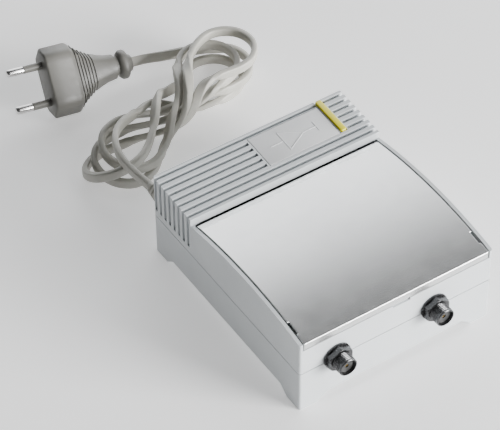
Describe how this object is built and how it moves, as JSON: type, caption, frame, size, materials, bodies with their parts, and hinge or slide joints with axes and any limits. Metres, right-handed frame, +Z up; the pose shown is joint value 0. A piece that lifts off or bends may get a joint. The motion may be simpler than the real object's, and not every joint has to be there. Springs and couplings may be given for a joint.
{
  "type": "coaxial signal booster",
  "caption": "Flat silver mains-fed coaxial signal booster with a ribbed rear deck, a tip-up crowned cover, threaded coaxial sockets and a flat lead ending in a flat mains plug.",
  "frame": {"origin": "on the table, under the middle of the housing and sockets", "axes": "+X right along the front, -Y out of the front where the sockets are, +Z up"},
  "size_m": [0.1217, 0.2539, 0.0485],
  "materials": {
    "silver_plastic": "satin silver paint on moulded plastic",
    "cover_silver": "glossy silver lacquer",
    "pale_plastic": "satin moulded",
    "yellow_plastic": "translucent satin",
    "dark_nickel": "dark nickel plate",
    "grey_insulator": "matte",
    "brass": "bright",
    "board": "solder mask",
    "tin_plate": "bright tin",
    "core_steel": "varnished laminations",
    "coil_tape": "tape",
    "black_plastic": "matte",
    "zinc_steel": "zinc plated",
    "cord_grey": "satin soft PVC",
    "plug_grey": "satin moulded PVC",
    "nickel_pin": "polished nickel",
    "lamp_yellow": "clear tinted",
    "fuse_glass": "clear",
    "adjuster_white": "satin"
  },
  "bodies": {
    "housing": {"upper_shell": "silver_plastic", "lower_shell": "silver_plastic", "hinge_pin_left": "zinc_steel", "hinge_pin_right": "zinc_steel", "name_plate": "pale_plastic", "indicator_bar": "yellow_plastic", "input_socket_body": "dark_nickel", "input_socket_insulator": "grey_insulator", "input_socket_contact": "brass", "input_socket_washer": "dark_nickel", "input_socket_nut": "dark_nickel", "output_socket_body": "dark_nickel", "output_socket_insulator": "grey_insulator", "output_socket_contact": "brass", "output_socket_washer": "dark_nickel", "output_socket_nut": "dark_nickel", "circuit_board": "board", "screening_can": "tin_plate", "screening_lid": "tin_plate", "level_adjuster_body": "black_plastic", "transformer_core": "core_steel", "transformer_coil": "coil_tape", "smoothing_capacitor": "black_plastic", "filter_capacitor": "black_plastic", "bridge_rectifier": "black_plastic", "voltage_regulator": "black_plastic", "mains_fuse": "fuse_glass", "fuse_holder": "black_plastic", "led_post": "black_plastic", "indicator_led": "lamp_yellow", "cord_clamp": "black_plastic", "clamp_screw_left": "zinc_steel", "clamp_screw_right": "zinc_steel", "housing_screw_1": "zinc_steel", "housing_screw_2": "zinc_steel", "housing_screw_3": "zinc_steel", "housing_screw_4": "zinc_steel", "board_screw_1": "zinc_steel", "board_screw_2": "zinc_steel", "board_screw_3": "zinc_steel", "board_screw_4": "zinc_steel", "strain_relief": "cord_grey", "cord_lead": "cord_grey", "cord_hank": "cord_grey", "cord_tail": "cord_grey", "plug_body": "plug_grey", "plug_pin_1": "nickel_pin", "plug_pin_2": "nickel_pin", "pin_sleeve_1": "plug_grey", "pin_sleeve_2": "plug_grey"},
    "cover": {"cover_panel": "cover_silver"},
    "level_adjuster": {"level_adjuster_rotor": "adjuster_white"}
  },
  "joints": [
    {"name": "cover_hinge", "type": "hinge", "parent": "housing", "child": "cover", "pos_m": [0, 0.0288, 0.0402], "axis": [-1, 0, 0], "range_deg": [0, 70]},
    {"name": "level_adjuster_turn", "type": "hinge", "parent": "housing", "child": "level_adjuster", "pos_m": [-0.006, -0.022, 0.034], "axis": [0, 0, 1], "range_deg": [-135, 135]}
  ]
}
